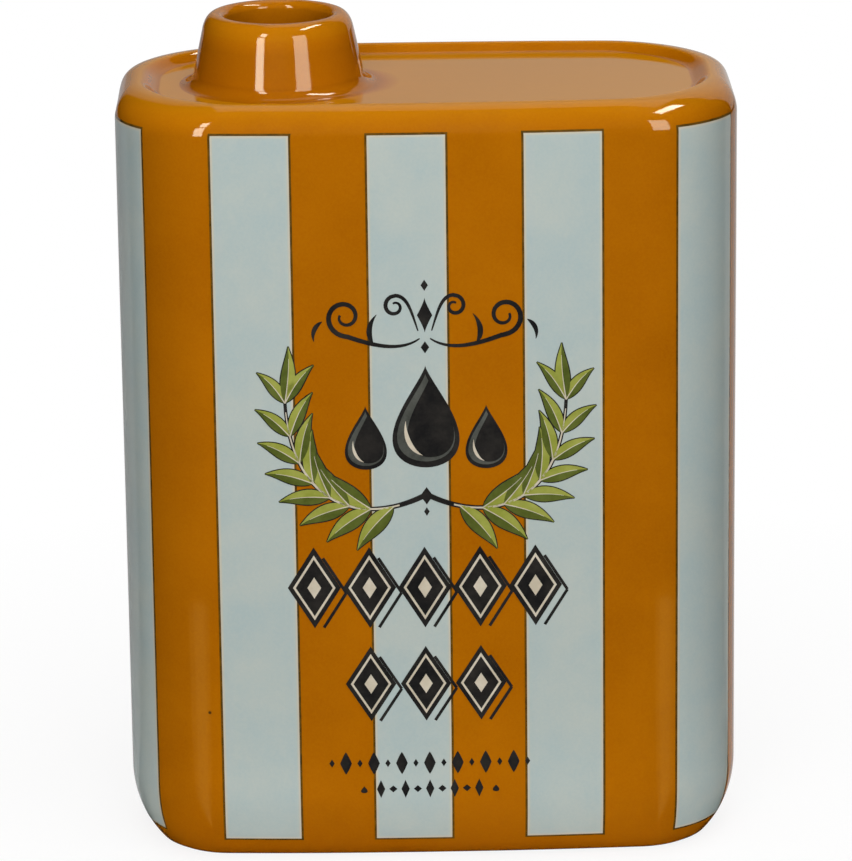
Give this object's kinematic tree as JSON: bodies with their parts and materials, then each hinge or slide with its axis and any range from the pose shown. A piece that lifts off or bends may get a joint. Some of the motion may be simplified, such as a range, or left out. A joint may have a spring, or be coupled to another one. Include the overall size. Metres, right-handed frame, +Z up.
{
  "type": "olive oil cruet",
  "caption": "Hollow glazed ceramic oil bottle in the shape of a rectangular can, with an open tapered spout set to one side, a raised rim round its top and pale upright bands in its wall.",
  "frame": {"origin": "middle of the foot's plane, under the middle of the body's width and depth", "axes": "+Z up the bottle, +X along its width away from the spout, -Y towards the front"},
  "size_m": [0.11, 0.06, 0.1505],
  "materials": {
    "ochre_glaze": "glossy ochre glaze over a cast earthenware shell",
    "pale_band": "glossy pale blue-grey fired-on colour"
  },
  "bodies": {
    "root": {"vessel_body": "ochre_glaze", "stripe_front_left": "pale_band", "stripe_front_middle": "pale_band", "stripe_front_right": "pale_band", "stripe_front_right_corner": "pale_band", "stripe_right_end": "pale_band", "stripe_back_right_corner": "pale_band", "stripe_back_right": "pale_band", "stripe_back_middle": "pale_band", "stripe_back_left": "pale_band", "stripe_back_left_corner": "pale_band", "stripe_front_left_corner": "pale_band"}
  },
  "joints": []
}
